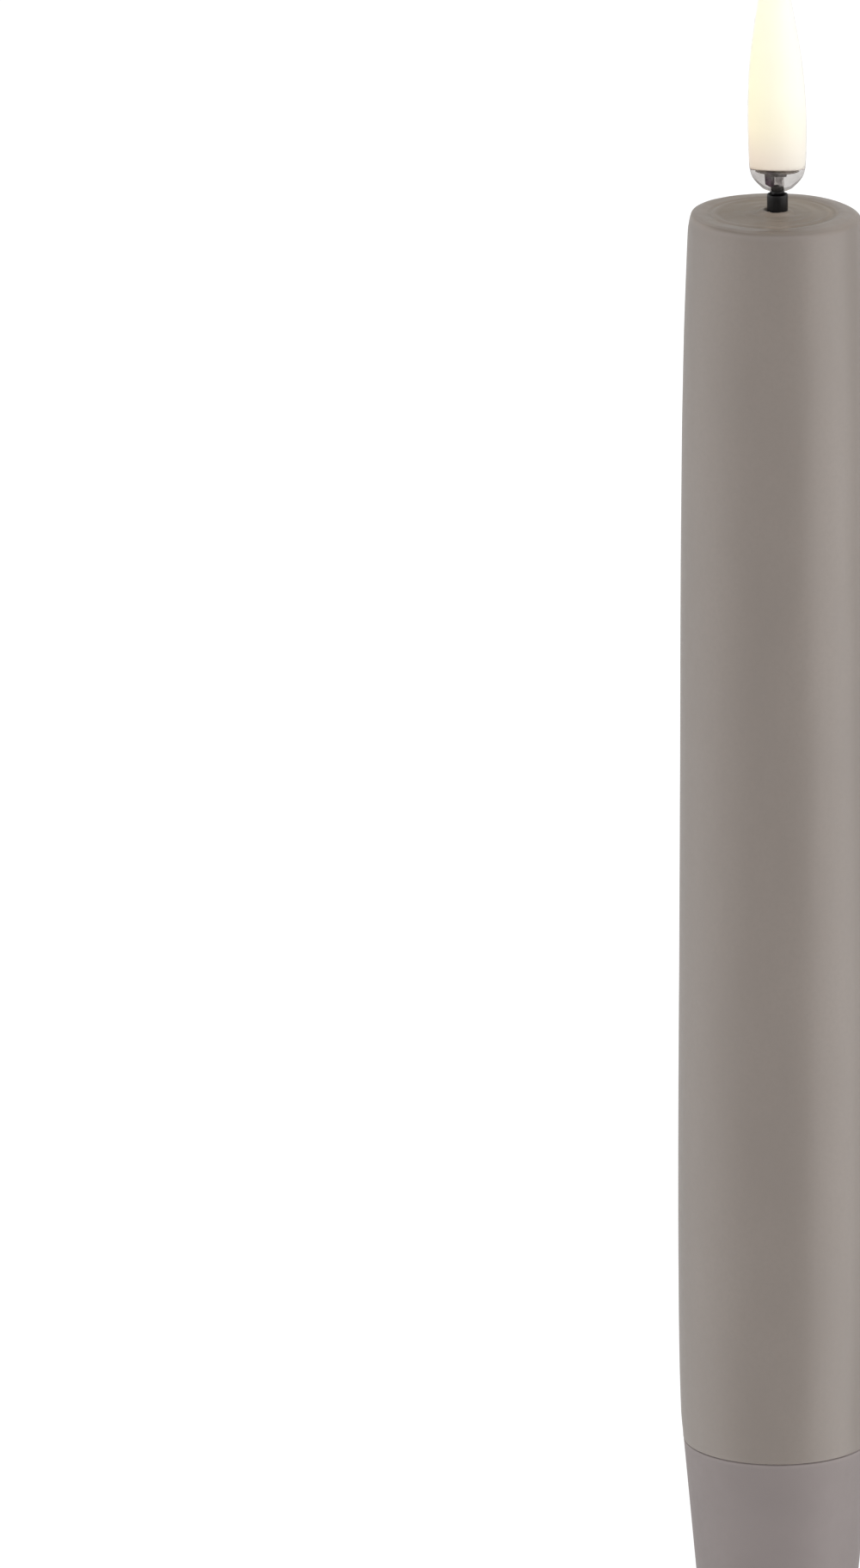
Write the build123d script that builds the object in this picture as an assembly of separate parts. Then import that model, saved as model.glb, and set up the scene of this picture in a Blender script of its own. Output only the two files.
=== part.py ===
from build123d import *
import os
from math import atan, degrees

# A flameless LED taper candle. A real-wax sleeve is cast on a plastic core tube. A lit plastic flame stands on
# a black wick tube. A clam-shell chassis in the core tube holds two AAA cells and the control board. The
# tapered foot is a threaded shell that turns on a contact carrier: unscrewing it lets the cells out.
# Units are millimetres. +Z is up, and the origin is the centre of the face that the candle stands on.

# ---- driving dimensions -------------------------------------------------------------------------------------
foot_height = 26.0
foot_bottom_r = 8.62
foot_top_r = 10.96
seam_gap = 0.12

wax_outline = [(11.0, 26.3), (11.3, 36.0), (11.55, 48.0), (11.58, 58.0), (11.42, 86.0), (11.17, 108.0),
               (10.88, 131.0), (10.62, 150.0), (10.3, 163.0), (9.95, 170.8)]
wax_top_ripples = [(9.84, 171.95), (9.6, 172.72), (9.0, 173.04), (8.0, 173.22), (7.1, 173.02), (6.6, 173.14),
                   (5.7, 173.0), (4.8, 173.2), (3.8, 173.14), (2.2, 173.36)]
wax_hole_floor = 173.25

core_r = 8.4
core_bore_r = 7.0
core_top = 170.0
core_lid = 1.4
spigot_r = 8.0
spigot_bottom = 15.5

thread_starts = 3
thread_lead = 9.0
thread_height = 0.45

cell_r = 5.25
cell_label = 0.13
cell_length = 44.5
cell_nub = 1.2
cells_bottom = 11.0

chassis_r = 6.9
chassis_bottom = 20.5
chassis_top = 163.5
bay_r = 6.0
bay_low = 104.0
bay_high = 160.0
split_gap = 0.04
screw_places = [(x, z) for x in (-3.8, 3.8) for z in (102.2, 161.8)]
screw_head_y = -4.6
screw_shank_r = 0.6

wick_r = 1.25
wick_bore_r = 0.8
wick_top = 175.15
stem_r = 0.72
stem_bore_r = 0.6
stem_top = 176.35

flame_bottom = 175.6
flame_tip = 211.0
flame_outline = [(3.04, 177.8), (3.24, 178.9), (3.37, 183.0), (3.32, 185.9), (3.0, 190.8), (2.3, 195.8),
                 (1.46, 201.0), (0.8, 205.6)]
flame_wall = 0.5
bowl_cavity = [(1.5, 176.35), (1.95, 176.75), (2.3, 177.3), (2.5, 177.9), (2.62, 178.52)]
diffuser_low = 178.5

carrier_r = 6.8
carrier_top = 19.5
carrier_floor = 1.5
key_top = 25.0
post_y = 4.4
board_low = 5.3
board_thick = 0.8
switch_pin_x = (-3.0, -1.0, 1.0, 3.0)
knob_travel = 3.0

flange_top = 1.2
flange_hole_r = 6.95
shell_bore_r = 7.7
thread_bore_r = 8.6
groove_low = 2.45
groove_high = 3.45
groove_r = 8.0

# ---- derived dimensions -------------------------------------------------------------------------------------
cells_top = cells_bottom + 2 * cell_length
wax_bore_r = core_r + 0.02
contact_low = cells_top + 0.05
board_top = board_low + board_thick
spring_low = board_top + 0.22
switch_low = carrier_floor + 0.1
switch_high = board_low - 0.05
foot_slope = (foot_top_r - foot_bottom_r) / foot_height


# ---- shapes used by more than one part ----------------------------------------------------------------------
BASE = (Align.CENTER, Align.CENTER, Align.MIN)


def rod(radius, low, high, x=0.0, y=0.0):
    """An upright round bar."""
    return Pos(x, y, low) * Cylinder(radius, high - low, align=BASE)


def tube(outer, inner, low, high):
    """An upright tube, open at both ends."""
    return rod(outer, low, high) - rod(inner, low - 1, high + 1)


def block(x_size, y_size, low, high, x=0.0, y=0.0):
    """An upright rectangular bar."""
    return Pos(x, y, low) * Box(x_size, y_size, high - low, align=BASE)


def cross_rod(radius, y_from, y_to, x, z):
    """A round bar along Y."""
    return Pos(x, y_from, z) * Rot(-90, 0, 0) * Cylinder(radius, y_to - y_from, align=BASE)


def curve(points, **ends):
    """A smooth line through (radius, height) points."""
    return Spline(*[(r, 0, z) for r, z in points], **ends)


def chain(points):
    """Straight lines through (radius, height) points."""
    return Polyline(*[(r, 0, z) for r, z in points])


def turned(*lines):
    """The closed outline made by the lines, turned about Z."""
    return revolve(make_face(Curve() + list(lines)), Axis.Z)


def thread(root_r, crest_r, low, high, phase):
    """Helical ridges of every start, from the root radius to the crest radius, between two heights."""
    bury = 0.12 if crest_r > root_r else -0.12
    half_root, half_crest = 0.6, 0.32
    buried_r = root_r - bury
    outline = [(buried_r, -half_root), (crest_r, -half_crest), (crest_r, half_crest), (buried_r, half_root)]
    section = make_face(Polyline(*[(r, 0, z) for r, z in outline], close=True))
    ridge = sweep(section, path=Helix(thread_lead, high - low, root_r), is_frenet=True)
    turn = low * 360 / thread_lead + phase
    return [Rot(0, 0, turn + 360 / thread_starts * i) * Pos(0, 0, low) * ridge for i in range(thread_starts)]


# ---- wax and core -------------------------------------------------------------------------------------------
def wax_sleeve():
    """The wax body: barrel-shaped outside, with a rippled, slightly dished top and a hole for the wick."""
    bottom = foot_height + seam_gap
    hole_r = wick_r + 0.05
    lid = core_top + 0.05
    top = curve([wax_outline[-1], *wax_top_ripples, (hole_r, wax_hole_floor)])
    inside = chain([(hole_r, wax_hole_floor), (hole_r, lid), (wax_bore_r, lid), (wax_bore_r, bottom),
                    (wax_outline[0][0] - 0.17, bottom), wax_outline[0]])
    return turned(curve(wax_outline), top, inside)


def core_tube():
    """The plastic tube inside the wax, closed at the top, with a threaded spigot that takes the foot."""
    body = rod(core_r, foot_height, core_top) + rod(spigot_r, spigot_bottom, foot_height)
    body -= rod(core_bore_r, spigot_bottom - 1, core_top - core_lid)
    body -= rod(wick_r + 0.1, core_top - 5, core_top + 1)
    for side in (-1, 1):
        body -= block(2.2, 1.0, spigot_bottom - 1, key_top + 0.5, y=side * (core_bore_r - 0.05))
    body = chamfer(body.edges().group_by(Axis.Z)[0].filter_by(GeomType.CIRCLE), 0.25)
    return body + thread(spigot_r, spigot_r + thread_height, 16.4, 24.4, 0)


# ---- flame --------------------------------------------------------------------------------------------------
def flame_form(inset, low):
    """The flame's form, made smaller by an inset and cut off flat at a height."""
    points = [(r - inset, z) for r, z in flame_outline if z > low]
    foot = (points[0][0], low)
    tip = (0.0, flame_tip - 4 * inset)
    side = curve([foot, *points[1:], tip], tangents=[(0.1, 0, 1), (-0.6, 0, 1)])
    return turned(side, chain([tip, (0, low), foot]))


def flame_shell():
    """The clear outer flame. The diffuser fills it, and the LED sits in the round bowl at its bottom."""
    tip = (0.0, flame_tip)
    side = curve([*flame_outline[1:], tip], tangents=[(0.06, 0, 1), (-0.6, 0, 1)])
    bowl = curve([(0.0, flame_bottom), (2.1, flame_bottom + 0.62), *flame_outline[:2]],
                 tangents=[(1, 0, 0), (0.06, 0, 1)])
    body = turned(side, bowl, chain([tip, (0, flame_bottom)]))
    body -= flame_form(flame_wall - 0.03, diffuser_low)
    low, high = bowl_cavity[0][1], bowl_cavity[-1][1]
    body -= turned(chain([*bowl_cavity, (0, high), (0, low), bowl_cavity[0]]))
    return body - rod(stem_r + 0.03, flame_bottom - 1, stem_top + 0.1)


def flame_diffuser():
    """The milky light guide that glows, with a pocket in its underside for the LED."""
    return flame_form(flame_wall, diffuser_low + 0.02) - rod(1.4, diffuser_low - 1, diffuser_low + 1.1)


def led_board():
    return block(2.6, 1.9, diffuser_low - 0.62, diffuser_low - 0.06)


def led_package():
    """The LED: a small white case with two emitters under a flat lens."""
    low = diffuser_low - 0.05
    case = block(2.0, 1.3, low, low + 0.65)
    case -= block(1.5, 0.9, low + 0.45, low + 1)
    return case + rod(0.3, low + 0.44, low + 0.6, x=-0.36) + rod(0.3, low + 0.44, low + 0.6, x=0.36)


def led_legs():
    """Two flat legs between the LED's board and its wires."""
    high = diffuser_low - 0.64
    return [block(0.5, 0.9, stem_top + 0.05, high, x=-0.6), block(0.5, 0.6, stem_top + 0.05, high, x=0.6)]


def wick_sleeve():
    """The black wick: a stiff tube with a flange that bears under the core tube's lid."""
    flange_top = core_top - core_lid - 0.1
    return rod(wick_r, flange_top - 1.1, wick_top) + rod(2.6, flange_top - 1.1, flange_top) - rod(
        wick_bore_r, flange_top - 2, wick_top + 1)


def wick_stem():
    """The thin tube that carries the flame and the LED's wires."""
    body = tube(stem_r, stem_bore_r, core_top - 3.4, stem_top)
    return chamfer(body.edges().group_by(Axis.Z)[-1].sort_by(SortBy.RADIUS)[-1], 0.08)


def led_wire(side):
    """One insulated wire from the circuit board up through the wick stem."""
    board_end = (1.4 * side, -0.85, 149.5)
    led_end = (0.3 * side, 0, stem_top - 0.05)
    route = [board_end, (1.4 * side, -0.85, 155.0), (0.3 * side, 0, 163.0), led_end]
    path = FilletPolyline(*route, radius=28)
    return sweep(Pos(*board_end) * Circle(0.27), path=path)


# ---- chassis, board and contacts ----------------------------------------------------------------------------
def chassis_half(side):
    """One half of the clam shell, split at y = 0: a cell bay below, a board bay above."""
    body = rod(chassis_r, chassis_bottom, chassis_top)
    body -= rod(cell_r + 0.3, chassis_bottom - 1, cells_top + 0.4)
    body -= rod(bay_r, bay_low, bay_high)
    body -= rod(2.0, bay_high - 1, chassis_top + 1)
    for x in (-1, 1):
        body -= block(1.1, 2.4, chassis_bottom - 1, 110.5, x=x * (bay_r - 0.05))
    body -= block(2 * bay_r + 0.8, 1.1, bay_low + 0.5, 157.0)
    body -= block(3.0, 0.6, cells_top, bay_low + 1, y=-0.7)
    for low, high in ((27.0, 50.0), (62.0, 90.0), (112.0, 150.0)):
        body -= block(6.4, 4 * chassis_r, low, high)
    for x, z in screw_places:
        body -= cross_rod(screw_shank_r + 0.03, -chassis_r, 4.0, x, z)
        body -= cross_rod(1.15, -chassis_r - 1, screw_head_y + 0.7, x, z)
    keep = block(4 * chassis_r, 2 * chassis_r, 0, 200, y=side * (chassis_r + split_gap))
    return body & keep


def chassis_screws():
    """Four cross-head screws that hold the chassis halves together."""
    screws = []
    for x, z in screw_places:
        screw = cross_rod(1.05, screw_head_y, screw_head_y + 0.65, x, z) + cross_rod(
            screw_shank_r, screw_head_y + 0.6, 3.4, x, z)
        for turn in (0, 90):
            screw -= Pos(x, screw_head_y, z) * Rot(0, turn, 0) * Box(1.3, 0.6, 0.22)
        screws.append(screw)
    return screws


def circuit_board():
    """The upright control board, held on both edges by the chassis."""
    return block(2 * bay_r + 0.5, 1.0, 110.8, 154.0) + block(2 * bay_r - 0.5, 1.0, 106.0, 110.8)


def control_chip():
    """An eight-leg controller on the board's front."""
    chip = block(3.9, 1.5, 122.0, 126.9, y=-1.4)
    for i in range(4):
        chip += block(6.0, 0.2, 122.35 + 1.27 * i, 122.75 + 1.27 * i, y=-0.75)
    return chip


def smoothing_capacitor():
    """An electrolytic capacitor standing on the board's back."""
    can = Pos(0, 2.75, 134.0) * Cylinder(2.1, 6.0, align=BASE)
    can = fillet(can.edges().filter_by(GeomType.CIRCLE), 0.25)
    return can - Pos(0, 2.75, 135.1) * (Cylinder(2.4, 0.3) - Cylinder(1.9, 0.3))


def drive_transistor():
    """A three-leg transistor that switches the LED."""
    return block(1.3, 1.1, 141.0, 143.9, x=2.8, y=-1.15) + block(2.4, 0.2, 142.2, 142.6, x=2.8, y=-0.75)


def chip_resistors():
    places = [(x, 112.5 + 2.4 * i) for x in (-4.6, 4.6) for i in range(3)]
    return [block(0.8, 0.45, z, z + 1.6, x=x, y=-0.76) for x, z in places]


def chip_capacitors():
    return [block(1.2, 0.8, 130.0 + 3.2 * i, 132.0 + 3.2 * i, x=-3.4, y=-0.94) for i in range(3)]


def ir_receiver():
    """The three-leg remote-control receiver, with a round lens that looks out through the wax."""
    body = block(4.2, 2.2, 144.6, 149.0, x=-2.2, y=-2.2)
    body += Pos(-2.2, -3.3, 146.9) * Sphere(1.5)
    for i in (-1, 0, 1):
        body += block(0.45, 0.5, 142.2, 144.8, x=-2.2 + 1.27 * i, y=-1.4)
    return body


def positive_contact():
    """The plated plate that the top cell presses on, with a tab up to the board."""
    plate = rod(4.3, contact_low, contact_low + 0.3)
    return plate + block(2.4, 0.3, contact_low + 0.1, 109.0, y=-0.7)


def contact_strip(side):
    """A flat strip from the foot's spring finger up to the board."""
    return block(0.3, 2.0, chassis_bottom - 0.15, 109.6, x=side * (bay_r + 0.1))


# ---- cells --------------------------------------------------------------------------------------------------
def cell(low):
    """One AAA cell: a steel can with a positive nub at the top and a flat negative end."""
    can_r = cell_r - cell_label - 0.02
    shoulder = low + cell_length - cell_nub
    can = rod(can_r, low + 0.15, shoulder)
    can = fillet(can.edges().filter_by(GeomType.CIRCLE), 0.4)
    return can + rod(4.0, low, low + 1) + fillet(
        rod(1.9, shoulder - 1, low + cell_length - 0.02).edges().group_by(Axis.Z)[-1], 0.25)


def cell_wrap(low):
    """The printed label sleeve round a cell."""
    return tube(cell_r, cell_r - cell_label, low + 0.7, low + cell_length - cell_nub - 0.5)


# ---- foot ---------------------------------------------------------------------------------------------------
def foot_shell():
    """The tapered shell of the foot: threaded inside at the top, with a flange under the carrier."""
    def outer(z):
        return foot_bottom_r + foot_slope * z

    edge = 0.5
    corner = Spline((outer(0) - edge, 0, 0), (outer(0.15) - 0.13, 0, 0.15), (outer(edge), 0, edge),
                    tangents=[(1, 0, 0), (foot_slope, 0, 1)])
    outline = chain([(outer(edge), edge), (outer(foot_height - 0.18), foot_height - 0.18),
                     (foot_top_r - 0.2, foot_height), (thread_bore_r, foot_height), (thread_bore_r, 15.8),
                     (shell_bore_r, 14.9), (shell_bore_r, groove_high), (groove_r, groove_high),
                     (groove_r, groove_low), (shell_bore_r, groove_low), (shell_bore_r, flange_top),
                     (flange_hole_r, flange_top), (flange_hole_r, 0), (outer(0) - edge, 0)])
    half_turn = 180 / thread_starts
    return turned(corner, outline) + thread(thread_bore_r, thread_bore_r - thread_height, 17.2, 25.0, half_turn)


def retaining_ring():
    """The open spring ring that keeps the carrier in the foot shell."""
    ring = tube(groove_r - 0.08, carrier_r + 0.15, groove_low + 0.1, groove_high - 0.1)
    return ring - block(3.0, 20, 0, 5, y=10)


def contact_carrier():
    """The plastic cup that holds the switch and the contacts: it slides in the core tube and doesn't turn."""
    body = rod(flange_hole_r - 0.15, 0.3, flange_top + 0.2) + rod(shell_bore_r - 0.15, flange_top + 0.1, 2.3)
    body += rod(carrier_r, 2.0, carrier_top)
    body -= rod(6.1, board_low - 0.05, carrier_top + 1) + rod(5.4, carrier_floor, board_low)
    for side in (-1, 1):
        body += rod(1.3, carrier_floor - 0.1, board_low - 0.05, y=side * post_y)
        body += block(2.0, 0.8, 13.5, carrier_top - 0.4, y=side * (core_bore_r - 0.02))
        body += block(2.0, 0.4, carrier_top - 1, key_top, y=side * (core_bore_r + 0.18))
        body -= rod(0.48, 2.0, board_low, y=side * post_y)
    return body - block(5.2, 2.2, 0, carrier_floor + 1)


def switch_board():
    """The round board in the foot, with holes for its screws and the switch's pins."""
    body = rod(6.0, board_low, board_top)
    for side in (-1, 1):
        body -= rod(0.6, 0, 10, y=side * post_y)
    for x in switch_pin_x:
        body -= rod(0.32, 0, 10, x=x)
    return body


def board_screws():
    """Two small screws that hold the switch board on the carrier's posts."""
    screws = []
    for y in (-post_y, post_y):
        screw = rod(0.9, board_top + 0.02, board_top + 0.6, y=y) + rod(0.45, 2.2, board_top + 0.1, y=y)
        screws.append(screw - block(1.4, 0.25, board_top + 0.35, board_top + 1, y=y))
    return screws


def switch_case():
    """The folded metal case of the slide switch, with a slot for its knob."""
    case = block(8.6, 3.7, switch_low, switch_high) - block(8.0, 3.1, switch_low + 0.3, switch_high + 1)
    return case - block(5.0, 1.9, 0, switch_low + 1)


def switch_base():
    """The switch's insulating base with its four pins."""
    base = block(7.9, 3.0, switch_high - 1.3, switch_high)
    for x in switch_pin_x:
        base += rod(0.25, switch_high - 0.1, board_top - 0.05, x=x)
    return base


def switch_knob():
    """The sliding knob, at the end of its travel where the candle is on."""
    x = -knob_travel / 2
    knob = block(3.6, 2.9, switch_low + 0.35, switch_high - 1.35, x=x)
    knob += block(1.6, 1.6, 0.55, switch_low + 0.5, x=x)
    for groove in (-0.4, 0, 0.4):
        knob -= block(0.16, 2.0, 0, 0.7, x=x + groove)
    return knob


def spring_plate():
    """The plated disc under the contact spring."""
    return rod(3.35, board_top + 0.01, board_top + 0.21)


def contact_spring():
    """The conical spring that presses the cells upwards, drawn as it is when the foot is closed."""
    wire_r = 0.3
    low, high = spring_low + wire_r + 0.02, cells_bottom - wire_r - 0.02
    bottom_r, top_r, turns = 2.9, 1.9, 4
    cone = -degrees(atan((bottom_r - top_r) / (high - low)))
    path = Helix((high - low) / turns, high - low, bottom_r, center=(0, 0, low), cone_angle=cone)
    section = Plane(path @ 0, z_dir=path % 0) * RegularPolygon(wire_r, 12)
    return sweep(section, path=path, is_frenet=True)


def spring_fingers():
    """Two leaf springs that carry the switch's two outputs to the strips in the chassis."""
    fingers = []
    for side in (-1, 1):
        leaf = block(0.25, 1.6, board_top + 0.02, carrier_top + 0.6, x=side * 5.85)
        leaf += block(1.3, 1.6, board_top + 0.02, board_top + 0.27, x=side * 5.3)
        leaf += block(0.6, 1.6, carrier_top + 0.35, carrier_top + 0.6, x=side * 6.0)
        fingers.append(leaf)
    return fingers


# ---- write every part ---------------------------------------------------------------------------------------
def parts():
    lower, upper = cells_bottom, cells_bottom + cell_length
    return {
        "wax_sleeve": wax_sleeve(),
        "core_tube": core_tube(),
        "flame_shell": flame_shell(),
        "flame_diffuser": flame_diffuser(),
        "led_board": led_board(),
        "led_package": led_package(),
        "led_legs": led_legs(),
        "wick_sleeve": wick_sleeve(),
        "wick_stem": wick_stem(),
        "led_wire_red": led_wire(1),
        "led_wire_black": led_wire(-1),
        "chassis_front": chassis_half(-1),
        "chassis_rear": chassis_half(1),
        "chassis_screws": chassis_screws(),
        "circuit_board": circuit_board(),
        "control_chip": control_chip(),
        "smoothing_capacitor": smoothing_capacitor(),
        "drive_transistor": drive_transistor(),
        "chip_resistors": chip_resistors(),
        "chip_capacitors": chip_capacitors(),
        "ir_receiver": ir_receiver(),
        "positive_contact": positive_contact(),
        "on_strip": contact_strip(1),
        "timer_strip": contact_strip(-1),
        "lower_cell": cell(lower),
        "lower_cell_wrap": cell_wrap(lower),
        "upper_cell": cell(upper),
        "upper_cell_wrap": cell_wrap(upper),
        "foot_shell": foot_shell(),
        "retaining_ring": retaining_ring(),
        "contact_carrier": contact_carrier(),
        "switch_board": switch_board(),
        "board_screws": board_screws(),
        "switch_case": switch_case(),
        "switch_base": switch_base(),
        "switch_knob": switch_knob(),
        "spring_plate": spring_plate(),
        "contact_spring": contact_spring(),
        "spring_fingers": spring_fingers(),
    }


os.makedirs("parts", exist_ok=True)
for name, shape in parts().items():
    if isinstance(shape, list):
        shape = Compound(children=[solid for piece in shape for solid in piece.solids()])
    export_step(shape, f"parts/{name}.step")
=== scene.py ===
import math

import bmesh
import bpy
import numpy as np
from mathutils import Matrix, Vector, noise


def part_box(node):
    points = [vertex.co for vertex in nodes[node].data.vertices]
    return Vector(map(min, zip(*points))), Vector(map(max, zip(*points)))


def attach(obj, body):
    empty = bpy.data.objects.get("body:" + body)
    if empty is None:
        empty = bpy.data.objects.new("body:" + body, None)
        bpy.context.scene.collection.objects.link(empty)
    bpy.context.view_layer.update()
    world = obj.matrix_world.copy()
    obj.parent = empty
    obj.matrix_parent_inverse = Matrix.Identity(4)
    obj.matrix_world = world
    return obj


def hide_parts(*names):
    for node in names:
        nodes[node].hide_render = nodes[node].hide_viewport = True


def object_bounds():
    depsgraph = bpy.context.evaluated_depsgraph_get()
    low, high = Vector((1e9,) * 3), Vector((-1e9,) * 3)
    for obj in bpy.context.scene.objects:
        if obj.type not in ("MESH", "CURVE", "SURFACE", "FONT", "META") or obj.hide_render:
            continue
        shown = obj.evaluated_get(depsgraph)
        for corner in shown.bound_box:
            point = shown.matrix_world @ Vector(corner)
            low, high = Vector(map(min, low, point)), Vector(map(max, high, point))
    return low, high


# The flameless taper candle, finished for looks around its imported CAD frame. Lengths in the tables below
# are in millimetres, and become metres when a mesh is made.
MM = 0.001
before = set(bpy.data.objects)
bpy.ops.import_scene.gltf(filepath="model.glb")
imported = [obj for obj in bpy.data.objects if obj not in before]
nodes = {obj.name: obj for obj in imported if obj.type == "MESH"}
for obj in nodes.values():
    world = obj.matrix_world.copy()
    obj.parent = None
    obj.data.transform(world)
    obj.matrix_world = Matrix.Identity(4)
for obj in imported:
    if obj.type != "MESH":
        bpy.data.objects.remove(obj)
cad_low, cad_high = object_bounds()
TAU = 2 * math.pi


def box_mm(node):
    """A CAD node's lowest and highest corners, in millimetres."""
    low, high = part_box(node)
    return low / MM, high / MM


# ---- smooth profiles -----------------------------------------------------------------------------
class Smooth:
    """A natural cubic spline y(x) through the given points."""

    def __init__(self, points):
        points = sorted(points)
        self.x = np.array([p[0] for p in points], float)
        self.y = np.array([p[1] for p in points], float)
        count = len(points)
        gap = np.diff(self.x)
        rows = np.eye(count)
        right = np.zeros(count)
        for i in range(1, count - 1):
            rows[i, i - 1 : i + 2] = gap[i - 1], 2 * (gap[i - 1] + gap[i]), gap[i]
            after, before = (self.y[i + 1] - self.y[i]) / gap[i], (self.y[i] - self.y[i - 1]) / gap[i - 1]
            right[i] = 6 * (after - before)
        self.bend = np.linalg.solve(rows, right)
        self.gap = gap

    def __call__(self, x):
        x = min(max(x, self.x[0]), self.x[-1])
        i = min(int(np.searchsorted(self.x, x, side="right")) - 1, len(self.gap) - 1)
        h = self.gap[i]
        a, b = (self.x[i + 1] - x) / h, (x - self.x[i]) / h
        line = a * self.y[i] + b * self.y[i + 1]
        return line + ((a**3 - a) * self.bend[i] + (b**3 - b) * self.bend[i + 1]) * h * h / 6


def ease(low, high, x):
    """0 at low and 1 at high, with a smooth step between them."""
    t = min(max((x - low) / (high - low), 0.0), 1.0)
    return t * t * (3 - 2 * t)


def bump_at(centre, width, x):
    """A bell of height 1."""
    return math.exp(-(((x - centre) / width) ** 2))


# ---- mesh building -------------------------------------------------------------------------------
def link(name, verts, faces):
    """A new smooth-shaded object from points in millimetres."""
    mesh = bpy.data.meshes.new(name)
    mesh.from_pydata([tuple(c * MM for c in v) for v in verts], [], faces)
    mesh.validate()
    mesh.update()
    for polygon in mesh.polygons:
        polygon.use_smooth = True
    piece = bpy.data.objects.new(name, mesh)
    bpy.context.scene.collection.objects.link(piece)
    return piece


def turned(name, outline, segments, shape=None, closed=False):
    """A surface of revolution through the outline's (radius, height) points. A radius of 0 makes a pole.
    shape may move each point: it takes the angle, radius and height, and returns x, y, z."""
    verts, faces, rings = [], [], []
    for r, z in outline:
        if r <= 1e-6:
            rings.append([len(verts)] * segments)
            verts.append(shape(0.0, 0.0, z) if shape else (0.0, 0.0, z))
            continue
        rings.append(list(range(len(verts), len(verts) + segments)))
        for i in range(segments):
            angle = TAU * i / segments
            verts.append(shape(angle, r, z) if shape else (r * math.cos(angle), r * math.sin(angle), z))
    pairs = list(zip(rings, rings[1:]))
    if closed:
        pairs.append((rings[-1], rings[0]))
    for a, b in pairs:
        for i in range(segments):
            j = (i + 1) % segments
            quad = [a[i], a[j], b[j], b[i]]
            face = [v for k, v in enumerate(quad) if v not in quad[:k]]
            if len(face) > 2:
                faces.append(face)
    return link(name, verts, faces)


def plates(name, outlines, bevel):
    """Flat plates about y = 0, with bevelled edges. Each is an outline of (x, z) points and half a
    thickness."""
    form = bmesh.new()
    for outline, half in outlines:
        front, back = (
            [form.verts.new((x * MM, y * MM, z * MM)) for x, z in outline] for y in (-half, half)
        )
        form.faces.new(front)
        form.faces.new(back[::-1])
        for a, b in zip(range(len(outline)), [*range(1, len(outline)), 0]):
            form.faces.new((front[b], front[a], back[a], back[b]))
    bmesh.ops.bevel(form, geom=form.edges[:], offset=bevel * MM, segments=2, affect="EDGES", profile=0.5)
    bmesh.ops.recalc_face_normals(form, faces=form.faces[:])
    mesh = bpy.data.meshes.new(name)
    form.to_mesh(mesh)
    form.free()
    piece = bpy.data.objects.new(name, mesh)
    bpy.context.scene.collection.objects.link(piece)
    return piece


def steps(low, high, size):
    """Evenly spaced values from low to high, about size apart."""
    count = max(1, round(abs(high - low) / size))
    return [low + (high - low) * i / count for i in range(count + 1)]


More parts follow.
